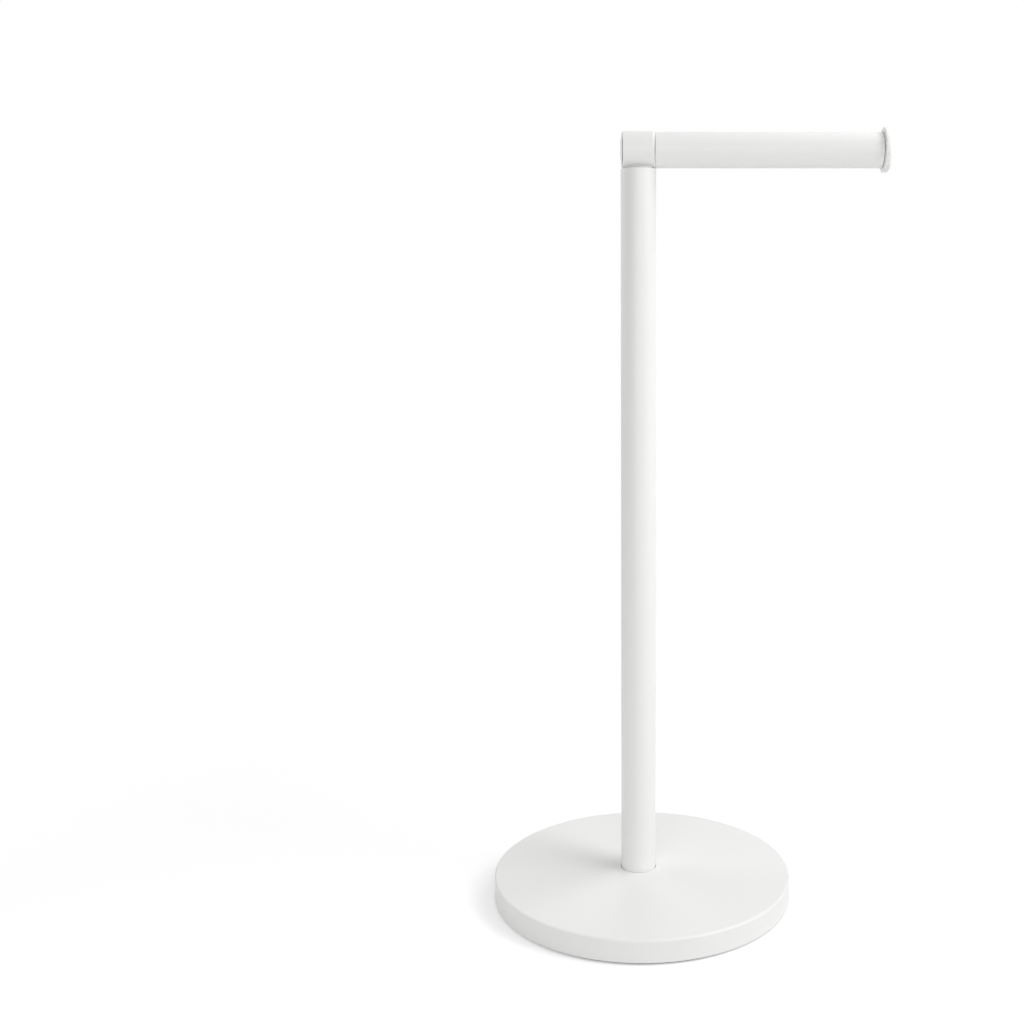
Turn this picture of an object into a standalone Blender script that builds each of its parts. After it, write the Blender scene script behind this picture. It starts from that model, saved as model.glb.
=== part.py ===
"""Freestanding toilet paper holder: a weighted round base, a tube post and a turning head with one arm.

All sizes are metres, +Z up. The origin is the middle of the underside of the base, on the floor.
The arm points along +X, and the head and arm turn about the post's upright axis.
"""

import math

import bmesh
import bpy

# One clearance for pieces that seat on, screw into or press into each other
FIT_GAP = 0.0003

# Base
BASE_DIAMETER = 0.188
BASE_HEIGHT = 0.015
COVER_WALL = 0.0015
COVER_EDGE_RADIUS = 0.0015
COVER_LIFT = 0.0012
POST_HOLE_CLEARANCE = 0.0003
PAD_THICKNESS = 0.0016
PAD_INSET = 0.0018
BALLAST_SIDE_GAP = 0.0004
BALLAST_EDGE_CHAMFER = 0.001

# Screws that pull the cover down on the ballast
COVER_SCREW_COUNT = 3
COVER_SCREW_CIRCLE_SHARE = 0.65
COVER_SCREW_FIRST_ANGLE = math.radians(90)
COVER_SCREW_RADIUS = 0.002
COVER_SCREW_HEAD_RADIUS = 0.004
COVER_SCREW_HEAD_HEIGHT = 0.0024
COVER_SCREW_HEAD_RECESS = 0.0003
COVER_SCREW_LENGTH = 0.0075
COVER_SCREW_KEY = 0.0025
COVER_SCREW_KEY_DEPTH = 0.0014
WELD_NUT_RADIUS = 0.004
WELD_NUT_HEIGHT = 0.005
WELD_NUT_POCKET_CLEARANCE = 0.0008

# Post, which stands a little to the left of the middle of the base and behind it
POST_X = -0.0023
POST_Y = 0.0054
POST_DIAMETER = 0.022
POST_WALL = 0.0015
POST_TOP_EDGE_RADIUS = 0.0008
POST_FOOT_CHAMFER = 0.0004

# Bolt that draws the post down on the ballast
BASE_BOLT_RADIUS = 0.004
BASE_BOLT_HEAD_RADIUS = 0.0065
BASE_BOLT_HEAD_HEIGHT = 0.0038
BASE_BOLT_REACH = 0.018
BASE_BOLT_KEY = 0.005
BASE_BOLT_KEY_DEPTH = 0.0024
BASE_BOLT_HOLE_CLEARANCE = 0.0005
BASE_WASHER_RADIUS = 0.0085
BASE_WASHER_THICKNESS = 0.0012
BASE_LOCK_WASHER_RADIUS = 0.0068
BASE_LOCK_WASHER_THICKNESS = 0.0012
BASE_LOCK_WASHER_SPLIT = 0.0010
BASE_WASHER_POCKET_CLEARANCE = 0.001
BALLAST_WEB = 0.004
FOOT_INSERT_LENGTH = 0.022
INSERT_CHAMFER = 0.0006

# Swivel between the post and the head
HEAD_AXIS_HEIGHT = 0.470
HEAD_DIAMETER = 0.023
HEAD_SEAT_DEPTH = 0.0104
HEAD_BOSS_RADIUS = 0.0095
HEAD_BOSS_HEIGHT = 0.0001
HEAD_BOSS_STEP = 0.0005
SWIVEL_SEAM = 0.0008
TOP_PLUG_LENGTH = 0.018
BUSH_FLANGE_RADIUS = 0.0078
BUSH_FLANGE_THICKNESS = 0.001
BUSH_WALL = 0.0012
BUSH_LENGTH = 0.012
SWIVEL_SCREW_RADIUS = 0.003
SWIVEL_SCREW_HEAD_RADIUS = 0.005
SWIVEL_SCREW_HEAD_HEIGHT = 0.006
SWIVEL_SCREW_KEY = 0.005
SWIVEL_SCREW_KEY_DEPTH = 0.003
SWIVEL_SCREW_TIP_DEPTH = 0.0058
SWIVEL_WASHER_RADIUS = 0.0075
SWIVEL_WASHER_THICKNESS = 0.0012
DISC_SPRING_COUNT = 2
DISC_SPRING_RADIUS = 0.00625
DISC_SPRING_THICKNESS = 0.0007
DISC_SPRING_RISE = 0.0004

# Head, measured along the arm from the post's axis
HEAD_BACK = 0.0096
HEAD_FRONT = 0.0098
HEAD_FRONT_BEVEL_LENGTH = 0.0011
HEAD_FRONT_BEVEL_DEPTH = 0.0004
CAP_RIM_THICKNESS = 0.0003
CAP_DOME_RISE = 0.0011
CAP_SPIGOT_RADIUS = 0.0067
CAP_SPIGOT_LENGTH = 0.0027
ARM_SCREW_RADIUS = 0.0025
ARM_SCREW_HEAD_RADIUS = 0.00425
ARM_SCREW_HEAD_HEIGHT = 0.0045
ARM_SCREW_KEY = 0.004
ARM_SCREW_KEY_DEPTH = 0.0025
ARM_SCREW_REACH = 0.0105
ARM_SCREW_SEAT = 0.0012
ARM_SCREW_POCKET_CLEARANCE = 0.00045
ARM_LOCK_WASHER_RADIUS = 0.0042
ARM_LOCK_WASHER_THICKNESS = 0.0012
ARM_LOCK_WASHER_SPLIT = 0.0008

# Arm
ARM_DIAMETER = 0.022
ARM_WALL = 0.0015
ARM_SEAM = 0.0004
ARM_LENGTH = 0.1496
ROOT_PLUG_LENGTH = 0.016
END_PLUG_LENGTH = 0.014

# Flange at the arm's end
FLANGE_DIAMETER = 0.0274
FLANGE_RIM = 0.0021
FLANGE_INNER_EDGE_RADIUS = 0.0008
FLANGE_OUTER_EDGE_RADIUS = 0.002
FLANGE_DOME_RISE = 0.0018
FLANGE_STUD_RADIUS = 0.003
FLANGE_STUD_BITE = 0.0035
FLANGE_STUD_REACH = 0.0105

# Chamfer on the ends of screws and studs, as a share of the shank's radius
TIP_CHAMFER_SHARE = 0.125

# Cuts run past the faces they open by this much
OVERRUN = 0.001
MERGE_DISTANCE = 0.00001

# Sides of round pieces and points in a rounded corner
BASE_SIDES = 96
TUBE_SIDES = 48
SMALL_SIDES = 24
SCREW_SIDES = 16
KEY_SIDES = 6
ARC_POINTS = 4
DOME_POINTS = 4

# Materials as colour, metallic and roughness
MATERIALS = {
    "white_powder_coat": ((0.90, 0.90, 0.89), 0.0, 0.42),
    "dark_foam_pad": ((0.05, 0.05, 0.05), 0.0, 0.9),
    "cast_iron": ((0.13, 0.13, 0.14), 0.7, 0.6),
    "zinc_plated_steel": ((0.62, 0.63, 0.65), 1.0, 0.35),
    "blued_spring_steel": ((0.10, 0.11, 0.13), 1.0, 0.4),
    "machined_steel": ((0.50, 0.51, 0.53), 1.0, 0.4),
    "natural_nylon": ((0.80, 0.79, 0.74), 0.0, 0.5),
}

# Places worked out from the sizes above
BASE_RADIUS = BASE_DIAMETER / 2
POST_RADIUS = POST_DIAMETER / 2
POST_BORE_RADIUS = POST_RADIUS - POST_WALL
HEAD_RADIUS = HEAD_DIAMETER / 2
ARM_RADIUS = ARM_DIAMETER / 2
ARM_BORE_RADIUS = ARM_RADIUS - ARM_WALL
FLANGE_RADIUS = FLANGE_DIAMETER / 2
BALLAST_BOTTOM = PAD_THICKNESS + FIT_GAP
BALLAST_TOP = BASE_HEIGHT - COVER_WALL - FIT_GAP
BALLAST_RADIUS = BASE_RADIUS - COVER_WALL - BALLAST_SIDE_GAP
COVER_SCREW_CIRCLE_RADIUS = BASE_RADIUS * COVER_SCREW_CIRCLE_SHARE
POST_BOTTOM = BALLAST_TOP + FIT_GAP
HEAD_FLAT = HEAD_AXIS_HEIGHT - HEAD_SEAT_DEPTH
POST_TOP = HEAD_FLAT - SWIVEL_SEAM
BOLT_POCKET_ROOF = BALLAST_TOP - BALLAST_WEB
BOLT_POCKET_RADIUS = BASE_WASHER_RADIUS + BASE_WASHER_POCKET_CLEARANCE
BOSS_BOTTOM = HEAD_FLAT - HEAD_BOSS_STEP
BUSH_FLANGE_TOP = BOSS_BOTTOM - FIT_GAP
BUSH_FLANGE_BOTTOM = BUSH_FLANGE_TOP - BUSH_FLANGE_THICKNESS
BUSH_BORE_RADIUS = SWIVEL_SCREW_RADIUS + FIT_GAP
BUSH_RADIUS = BUSH_BORE_RADIUS + BUSH_WALL
TOP_PLUG_BOTTOM = POST_TOP - TOP_PLUG_LENGTH
ARM_START = HEAD_FRONT + ARM_SEAM
ARM_END = ARM_LENGTH - FIT_GAP


def clear_scene():
    """Remove every object, mesh and material that the file starts with."""
    for thing in list(bpy.data.objects):
        bpy.data.objects.remove(thing, do_unlink=True)
    for group in (bpy.data.meshes, bpy.data.materials, bpy.data.collections):
        for item in list(group):
            group.remove(item)


def make_collection(name):
    """Add a collection to the scene."""
    collection = bpy.data.collections.new(name)
    bpy.context.scene.collection.children.link(collection)
    return collection


def make_material(name):
    """Make a Principled material from the table."""
    colour, metallic, roughness = MATERIALS[name]
    material = bpy.data.materials.new(name)
    material.use_nodes = True
    shader = material.node_tree.nodes["Principled BSDF"]
    shader.inputs["Base Color"].default_value = (*colour, 1.0)
    shader.inputs["Metallic"].default_value = metallic
    shader.inputs["Roughness"].default_value = roughness
    material.diffuse_color = (*colour, 1.0)
    return material


def arc(centre_radius, centre_height, size, start_degrees, end_degrees, points=ARC_POINTS):
    """Points of a round corner as (radius, height), from one angle to another."""
    result = []
    for step in range(points + 1):
        angle = math.radians(start_degrees + (end_degrees - start_degrees) * step / points)
        result.append((centre_radius + size * math.cos(angle), centre_height + size * math.sin(angle)))
    return result


def dome(rim_radius, rim_height, rise, points=DOME_POINTS):
    """Points of a shallow dome as (radius, height), from its peak on the axis out to its rim."""
    ball = (rim_radius ** 2 + rise ** 2) / (2 * rise)
    spread = math.asin(rim_radius / ball)
    result = []
    for step in range(points + 1):
        angle = spread * step / points
        result.append((ball * math.sin(angle), rim_height + rise - ball * (1 - math.cos(angle))))
    return result


def link(name, mesh, collection, material):
    """Make an object from a mesh."""
    mesh.name = name
    piece = bpy.data.objects.new(name, mesh)
    if material:
        mesh.materials.append(material)
    collection.objects.link(piece)
    return piece


def turned(name, profile, closed, sides, collection, material):
    """Turn a profile of (radius, height) points about Z; a closed one leaves a bore."""
    mesh = bpy.data.meshes.new(name)
    points = [(radius, 0, height) for radius, height in profile]
    edges = [(index, index + 1) for index in range(len(points) - 1)]
    if closed:
        edges.append((len(points) - 1, 0))
    mesh.from_pydata(points, edges, [])
    piece = link(name, mesh, collection, material)
    screw = piece.modifiers.new("Turn", "SCREW")
    screw.axis = "Z"
    screw.angle = math.tau
    screw.steps = sides
    screw.render_steps = sides
    screw.use_merge_vertices = True
    screw.merge_threshold = MERGE_DISTANCE
    screw.use_smooth_shade = True
    return piece


def stand_at(piece, x, y, z):
    """Put a piece with its own Z axis upright at a place."""
    piece.location = (x, y, z)


def lay_along_arm(piece, x, backwards=False):
    """Lay a piece on the arm's axis, its own Z axis along +X, or along -X when backwards."""
    quarter = math.radians(90)
    piece.rotation_euler = (0, -quarter if backwards else quarter, 0)
    piece.location = (POST_X + x, POST_Y, HEAD_AXIS_HEIGHT)


def cylinder_cutter(name, radius, bottom, top, sides, collection):
    """A plain cylinder along its own Z axis, used to cut others or to be joined to them."""
    mesh = bpy.data.meshes.new(name)
    shape = bmesh.new()
    bmesh.ops.create_cone(shape, cap_ends=True, segments=sides, radius1=radius, radius2=radius, depth=top - bottom)
    bmesh.ops.translate(shape, verts=shape.verts, vec=(0, 0, (top + bottom) / 2))
    shape.to_mesh(mesh)
    shape.free()
    return as_cutter(link(name, mesh, collection, None))


def box_cutter(name, size, collection):
    """A box cutter with its middle at its own origin."""
    mesh = bpy.data.meshes.new(name)
    shape = bmesh.new()
    bmesh.ops.create_cube(shape, size=1)
    bmesh.ops.scale(shape, verts=shape.verts, vec=size)
    shape.to_mesh(mesh)
    shape.free()
    return as_cutter(link(name, mesh, collection, None))


def as_cutter(piece):
    """Keep a cutter out of the picture."""
    piece.hide_render = True
    piece.display_type = "WIRE"
    return piece


def cut(piece, cutter):
    """Cut one object out of another."""
    boolean = piece.modifiers.new(cutter.name, "BOOLEAN")
    boolean.operation = "DIFFERENCE"
    boolean.solver = "EXACT"
    boolean.object = cutter


def join(piece, other):
    """Join one object to another."""
    boolean = piece.modifiers.new(other.name, "BOOLEAN")
    boolean.operation = "UNION"
    boolean.solver = "EXACT"
    boolean.object = other


def key_socket(piece, across_flats, depth, face, cutters):
    """Cut a hexagon key socket down into a screw head from its own face height, along its Z axis."""
    corner_radius = across_flats / math.sqrt(3)
    cutter = cylinder_cutter(f"{piece.name}_key", corner_radius, face - OVERRUN, face + depth, KEY_SIDES, cutters)
    cutter.parent = piece
    cut(piece, cutter)


def cap_screw_profile(shank_radius, head_radius, head_height, length):
    """Profile of a screw whose head is below and whose tip points up, with the head's seat at zero."""
    chamfer = shank_radius * TIP_CHAMFER_SHARE
    return [
        (0, length),
        (shank_radius - chamfer, length),
        (shank_radius, length - chamfer),
        (shank_radius, 0),
        (head_radius, 0),
        (head_radius, chamfer - head_height),
        (head_radius - chamfer, -head_height),
        (0, -head_height),
    ]


def ring_profile(outer_radius, inner_radius, bottom, top, chamfer=0):
    """Closed profile of a ring, with an outer chamfer at both ends where one is given."""
    if not chamfer:
        return [(outer_radius, top), (outer_radius, bottom), (inner_radius, bottom), (inner_radius, top)]
    return [
        (outer_radius - chamfer, top),
        (outer_radius, top - chamfer),
        (outer_radius, bottom + chamfer),
        (outer_radius - chamfer, bottom),
        (inner_radius, bottom),
        (inner_radius, top),
    ]


def split_washer(name, outer_radius, inner_radius, thickness, split, parts, cutters, material):
    """A spring lock washer: a ring with a slit through one side, its upper face at zero."""
    washer = turned(name, ring_profile(outer_radius, inner_radius, -thickness, 0), True, SMALL_SIDES, parts, material)
    reach = outer_radius + OVERRUN
    slit = box_cutter(f"{name}_slit", (split, reach, thickness + 2 * OVERRUN), cutters)
    slit.location = (0, reach / 2, -thickness / 2)
    slit.parent = washer
    cut(washer, slit)
    return washer


def base_pad(parts, material):
    """Thin pad under the base, a little smaller than the cover, which shows as a dark line."""
    radius = BASE_RADIUS - PAD_INSET
    profile = [(0, PAD_THICKNESS), (radius, PAD_THICKNESS), (radius, 0), (0, 0)]
    turned("base_pad", profile, False, BASE_SIDES, parts, material)


def base_cover(parts, cutters, material):
    """Pressed steel cover, open below, with a rounded rim and a hole for the post."""
    inner_radius = BASE_RADIUS - COVER_WALL
    inner_top = BASE_HEIGHT - COVER_WALL
    rim = arc(
        BASE_RADIUS - COVER_EDGE_RADIUS, BASE_HEIGHT - COVER_EDGE_RADIUS, COVER_EDGE_RADIUS, 90, 0
    )
    profile = [(0, BASE_HEIGHT)] + rim
    profile += [(BASE_RADIUS, COVER_LIFT), (inner_radius, COVER_LIFT), (inner_radius, inner_top), (0, inner_top)]
    cover = turned("base_cover", profile, False, BASE_SIDES, parts, material)
    hole = cylinder_cutter(
        "post_hole", POST_RADIUS + POST_HOLE_CLEARANCE, inner_top - OVERRUN, BASE_HEIGHT + OVERRUN, TUBE_SIDES, cutters
    )
    stand_at(hole, POST_X, POST_Y, 0)
    cut(cover, hole)


def cover_screw_places():
    """Places of the cover's screws, evenly spaced on a circle round the middle of the base."""
    places = []
    for index in range(COVER_SCREW_COUNT):
        angle = COVER_SCREW_FIRST_ANGLE + math.tau * index / COVER_SCREW_COUNT
        places.append((COVER_SCREW_CIRCLE_RADIUS * math.cos(angle), COVER_SCREW_CIRCLE_RADIUS * math.sin(angle)))
    return places


def cover_screw_seat():
    """Height of the face that a cover screw's head pulls on, less the fit gap."""
    return BALLAST_BOTTOM + COVER_SCREW_HEAD_RECESS + COVER_SCREW_HEAD_HEIGHT


def ballast_disc(parts, cutters, material):
    """Cast iron weight inside the cover, bored for the post's bolt and for the cover's screws."""
    profile = [
        (0, BALLAST_TOP),
        (BALLAST_RADIUS - BALLAST_EDGE_CHAMFER, BALLAST_TOP),
        (BALLAST_RADIUS, BALLAST_TOP - BALLAST_EDGE_CHAMFER),
        (BALLAST_RADIUS, BALLAST_BOTTOM),
        (0, BALLAST_BOTTOM),
    ]
    ballast = turned("ballast_disc", profile, False, BASE_SIDES, parts, material)
    below = BALLAST_BOTTOM - OVERRUN
    above = BALLAST_TOP + OVERRUN
    hole_radius = BASE_BOLT_RADIUS + BASE_BOLT_HOLE_CLEARANCE
    bore = cylinder_cutter("base_bolt_bore", hole_radius, below, above, SMALL_SIDES, cutters)
    pocket = cylinder_cutter("base_bolt_pocket", BOLT_POCKET_RADIUS, below, BOLT_POCKET_ROOF, SMALL_SIDES, cutters)
    for cutter in (bore, pocket):
        stand_at(cutter, POST_X, POST_Y, 0)
        cut(ballast, cutter)
    nut_pocket_floor = BALLAST_TOP - WELD_NUT_HEIGHT - FIT_GAP
    head_pocket_roof = cover_screw_seat() + FIT_GAP
    for index, (x, y) in enumerate(cover_screw_places(), 1):
        shapes = (
            ("bore", COVER_SCREW_RADIUS + FIT_GAP, below, above),
            ("nut_pocket", WELD_NUT_RADIUS + WELD_NUT_POCKET_CLEARANCE, nut_pocket_floor, above),
            ("head_pocket", COVER_SCREW_HEAD_RADIUS + FIT_GAP, below, head_pocket_roof),
        )
        for kind, radius, bottom, top in shapes:
            cutter = cylinder_cutter(f"cover_screw_{kind}_{index}", radius, bottom, top, SCREW_SIDES, cutters)
            stand_at(cutter, x, y, 0)
            cut(ballast, cutter)


def cover_screws(parts, cutters, screw_material, nut_material):
    """Screws up through the ballast, and the round nuts under the cover that they bite in."""
    seat = cover_screw_seat()
    for index, (x, y) in enumerate(cover_screw_places(), 1):
        profile = cap_screw_profile(
            COVER_SCREW_RADIUS, COVER_SCREW_HEAD_RADIUS, COVER_SCREW_HEAD_HEIGHT, COVER_SCREW_LENGTH
        )
        screw = turned(f"cover_screw_{index}", profile, False, SCREW_SIDES, parts, screw_material)
        stand_at(screw, x, y, seat)
        key_socket(screw, COVER_SCREW_KEY, COVER_SCREW_KEY_DEPTH, -COVER_SCREW_HEAD_HEIGHT, cutters)
        ring = ring_profile(WELD_NUT_RADIUS, COVER_SCREW_RADIUS + FIT_GAP, -WELD_NUT_HEIGHT, 0)
        nut = turned(f"cover_weld_nut_{index}", ring, True, SCREW_SIDES, parts, nut_material)
        stand_at(nut, x, y, BALLAST_TOP)


def base_fastening(parts, cutters, material):
    """Bolt from below with its washers, which draws the post down on the ballast."""
    washer_top = BOLT_POCKET_ROOF - FIT_GAP
    lock_top = washer_top - BASE_WASHER_THICKNESS - FIT_GAP
    bolt_seat = lock_top - BASE_LOCK_WASHER_THICKNESS - FIT_GAP
    hole_radius = BASE_BOLT_RADIUS + FIT_GAP
    ring = ring_profile(BASE_WASHER_RADIUS, hole_radius, -BASE_WASHER_THICKNESS, 0)
    washer = turned("base_flat_washer", ring, True, SMALL_SIDES, parts, material)
    stand_at(washer, POST_X, POST_Y, washer_top)
    lock = split_washer(
        "base_lock_washer", BASE_LOCK_WASHER_RADIUS, hole_radius, BASE_LOCK_WASHER_THICKNESS,
        BASE_LOCK_WASHER_SPLIT, parts, cutters, material,
    )
    stand_at(lock, POST_X, POST_Y, lock_top)
    length = POST_BOTTOM + BASE_BOLT_REACH - bolt_seat
    profile = cap_screw_profile(BASE_BOLT_RADIUS, BASE_BOLT_HEAD_RADIUS, BASE_BOLT_HEAD_HEIGHT, length)
    bolt = turned("base_bolt", profile, False, SMALL_SIDES, parts, material)
    stand_at(bolt, POST_X, POST_Y, bolt_seat)
    key_socket(bolt, BASE_BOLT_KEY, BASE_BOLT_KEY_DEPTH, -BASE_BOLT_HEAD_HEIGHT, cutters)


def post(parts, tube_material, insert_material):
    """Upright tube with the threaded insert in its foot."""
    top_edge = arc(POST_RADIUS - POST_TOP_EDGE_RADIUS, POST_TOP - POST_TOP_EDGE_RADIUS, POST_TOP_EDGE_RADIUS, 90, 0)
    profile = top_edge + [
        (POST_RADIUS, POST_BOTTOM + POST_FOOT_CHAMFER),
        (POST_RADIUS - POST_FOOT_CHAMFER, POST_BOTTOM),
        (POST_BORE_RADIUS, POST_BOTTOM),
        (POST_BORE_RADIUS, POST_TOP),
    ]
    tube = turned("post_tube", profile, True, TUBE_SIDES, parts, tube_material)
    stand_at(tube, POST_X, POST_Y, 0)
    insert_profile = ring_profile(
        POST_BORE_RADIUS - FIT_GAP, BASE_BOLT_RADIUS + FIT_GAP, POST_BOTTOM, POST_BOTTOM + FOOT_INSERT_LENGTH,
        INSERT_CHAMFER,
    )
    insert = turned("post_foot_insert", insert_profile, True, SMALL_SIDES, parts, insert_material)
    stand_at(insert, POST_X, POST_Y, 0)


def post_top_plug(parts, material):
    """Plug pressed in the post's top, with a shallow pocket for the bush's flange."""
    plug_radius = POST_BORE_RADIUS - FIT_GAP
    bore_radius = BUSH_RADIUS + FIT_GAP
    pocket_radius = BUSH_FLANGE_RADIUS + FIT_GAP
    pocket_floor = BUSH_FLANGE_BOTTOM - FIT_GAP
    profile = [
        (pocket_radius, POST_TOP),
        (plug_radius, POST_TOP),
        (plug_radius, TOP_PLUG_BOTTOM + INSERT_CHAMFER),
        (plug_radius - INSERT_CHAMFER, TOP_PLUG_BOTTOM),
        (bore_radius, TOP_PLUG_BOTTOM),
        (bore_radius, pocket_floor),
        (pocket_radius, pocket_floor),
    ]
    plug = turned("post_top_plug", profile, True, SMALL_SIDES, parts, material)
    stand_at(plug, POST_X, POST_Y, 0)


def swivel_bush(parts, material):
    """Flanged nylon bush that the screw turns in and the head turns on."""
    profile = [
        (BUSH_FLANGE_RADIUS, BUSH_FLANGE_TOP),
        (BUSH_FLANGE_RADIUS, BUSH_FLANGE_BOTTOM),
        (BUSH_RADIUS, BUSH_FLANGE_BOTTOM),
        (BUSH_RADIUS, BUSH_FLANGE_BOTTOM - BUSH_LENGTH),
        (BUSH_BORE_RADIUS, BUSH_FLANGE_BOTTOM - BUSH_LENGTH),
        (BUSH_BORE_RADIUS, BUSH_FLANGE_TOP),
    ]
    bush = turned("swivel_bush", profile, True, SMALL_SIDES, parts, material)
    stand_at(bush, POST_X, POST_Y, 0)


def disc_spring(name, points_up, parts, material):
    """One conical spring washer, its flat side or its crown up, with its lowest edge at zero."""
    inner_radius = SWIVEL_SCREW_RADIUS + FIT_GAP
    outer_lift = 0 if points_up else DISC_SPRING_RISE
    inner_lift = DISC_SPRING_RISE - outer_lift
    profile = [
        (DISC_SPRING_RADIUS, outer_lift + DISC_SPRING_THICKNESS),
        (DISC_SPRING_RADIUS, outer_lift),
        (inner_radius, inner_lift),
        (inner_radius, inner_lift + DISC_SPRING_THICKNESS),
    ]
    return turned(name, profile, True, SMALL_SIDES, parts, material)


def swivel_fastening(parts, cutters, steel, spring_steel):
    """Screw up through the plug into the head, sprung by disc springs so the head turns stiffly."""
    washer_top = TOP_PLUG_BOTTOM - FIT_GAP
    ring = ring_profile(SWIVEL_WASHER_RADIUS, SWIVEL_SCREW_RADIUS + FIT_GAP, -SWIVEL_WASHER_THICKNESS, 0)
    washer = turned("swivel_flat_washer", ring, True, SMALL_SIDES, parts, steel)
    stand_at(washer, POST_X, POST_Y, washer_top)
    spring_top = washer_top - SWIVEL_WASHER_THICKNESS - FIT_GAP
    spring_height = DISC_SPRING_THICKNESS + DISC_SPRING_RISE
    for index in range(DISC_SPRING_COUNT):
        spring = disc_spring(f"disc_spring_{index + 1}", index % 2 == 0, parts, spring_steel)
        stand_at(spring, POST_X, POST_Y, spring_top - spring_height)
        spring_top = spring_top - spring_height - FIT_GAP
    length = HEAD_AXIS_HEIGHT - SWIVEL_SCREW_TIP_DEPTH - spring_top
    profile = cap_screw_profile(
        SWIVEL_SCREW_RADIUS, SWIVEL_SCREW_HEAD_RADIUS, SWIVEL_SCREW_HEAD_HEIGHT, length
    )
    screw = turned("swivel_screw", profile, False, SMALL_SIDES, parts, steel)
    stand_at(screw, POST_X, POST_Y, spring_top)
    key_socket(screw, SWIVEL_SCREW_KEY, SWIVEL_SCREW_KEY_DEPTH, -SWIVEL_SCREW_HEAD_HEIGHT, cutters)


def head_flat_cutter(cutters):
    """Box that planes the underside of the head and its cap flat, just above the post's top."""
    depth = HEAD_RADIUS - HEAD_SEAT_DEPTH + OVERRUN
    back = HEAD_BACK + FIT_GAP + CAP_RIM_THICKNESS + CAP_DOME_RISE + OVERRUN
    front = HEAD_FRONT + OVERRUN
    flat = box_cutter("head_flat", (front + back, HEAD_DIAMETER, depth), cutters)
    stand_at(flat, POST_X + (front - back) / 2, POST_Y, HEAD_FLAT - depth / 2)
    return flat


def head_body(parts, cutters, flat, material):
    """Short round bar with a boss that stands on the post, bored along for one screw and up for the other."""
    socket_radius = CAP_SPIGOT_RADIUS + FIT_GAP
    socket_end = CAP_SPIGOT_LENGTH + FIT_GAP - HEAD_BACK
    pocket_radius = ARM_SCREW_HEAD_RADIUS + ARM_SCREW_POCKET_CLEARANCE
    bore_radius = ARM_SCREW_RADIUS + FIT_GAP
    profile = [
        (HEAD_RADIUS - HEAD_FRONT_BEVEL_DEPTH, HEAD_FRONT),
        (HEAD_RADIUS, HEAD_FRONT - HEAD_FRONT_BEVEL_LENGTH),
        (HEAD_RADIUS, -HEAD_BACK),
        (socket_radius, -HEAD_BACK),
        (socket_radius, socket_end),
        (pocket_radius, socket_end),
        (pocket_radius, ARM_SCREW_SEAT),
        (bore_radius, ARM_SCREW_SEAT),
        (bore_radius, HEAD_FRONT),
    ]
    head = turned("head_body", profile, True, TUBE_SIDES, parts, material)
    lay_along_arm(head, 0)
    cut(head, flat)
    boss = cylinder_cutter(
        "head_boss", HEAD_BOSS_RADIUS, BOSS_BOTTOM, HEAD_FLAT + HEAD_BOSS_HEIGHT, TUBE_SIDES, cutters
    )
    stand_at(boss, POST_X, POST_Y, 0)
    join(head, boss)
    roof = HEAD_AXIS_HEIGHT - SWIVEL_SCREW_TIP_DEPTH + FIT_GAP
    bore = cylinder_cutter(
        "swivel_screw_bore", SWIVEL_SCREW_RADIUS + FIT_GAP, BOSS_BOTTOM - OVERRUN, roof, SMALL_SIDES, cutters
    )
    stand_at(bore, POST_X, POST_Y, 0)
    cut(head, bore)


def head_end_cap(parts, flat, material):
    """Domed cap over the head's outer end, pushed into its socket, which hides the arm's screw."""
    profile = dome(HEAD_RADIUS, CAP_RIM_THICKNESS, CAP_DOME_RISE)
    profile += [
        (HEAD_RADIUS, 0),
        (CAP_SPIGOT_RADIUS, 0),
        (CAP_SPIGOT_RADIUS, -CAP_SPIGOT_LENGTH),
        (0, -CAP_SPIGOT_LENGTH),
    ]
    cap = turned("head_end_cap", profile, False, TUBE_SIDES, parts, material)
    lay_along_arm(cap, -HEAD_BACK - FIT_GAP, backwards=True)
    cut(cap, flat)


def arm_fastening(parts, cutters, material):
    """Screw along the arm's axis, through the head into the arm's root plug, with its lock washer."""
    washer_end = ARM_SCREW_SEAT - FIT_GAP
    lock = split_washer(
        "arm_lock_washer", ARM_LOCK_WASHER_RADIUS, ARM_SCREW_RADIUS + FIT_GAP, ARM_LOCK_WASHER_THICKNESS,
        ARM_LOCK_WASHER_SPLIT, parts, cutters, material,
    )
    lay_along_arm(lock, washer_end)
    seat = washer_end - ARM_LOCK_WASHER_THICKNESS - FIT_GAP
    length = HEAD_FRONT + ARM_SCREW_REACH - seat
    profile = cap_screw_profile(ARM_SCREW_RADIUS, ARM_SCREW_HEAD_RADIUS, ARM_SCREW_HEAD_HEIGHT, length)
    screw = turned("arm_screw", profile, False, SMALL_SIDES, parts, material)
    lay_along_arm(screw, seat)
    key_socket(screw, ARM_SCREW_KEY, ARM_SCREW_KEY_DEPTH, -ARM_SCREW_HEAD_HEIGHT, cutters)


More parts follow.
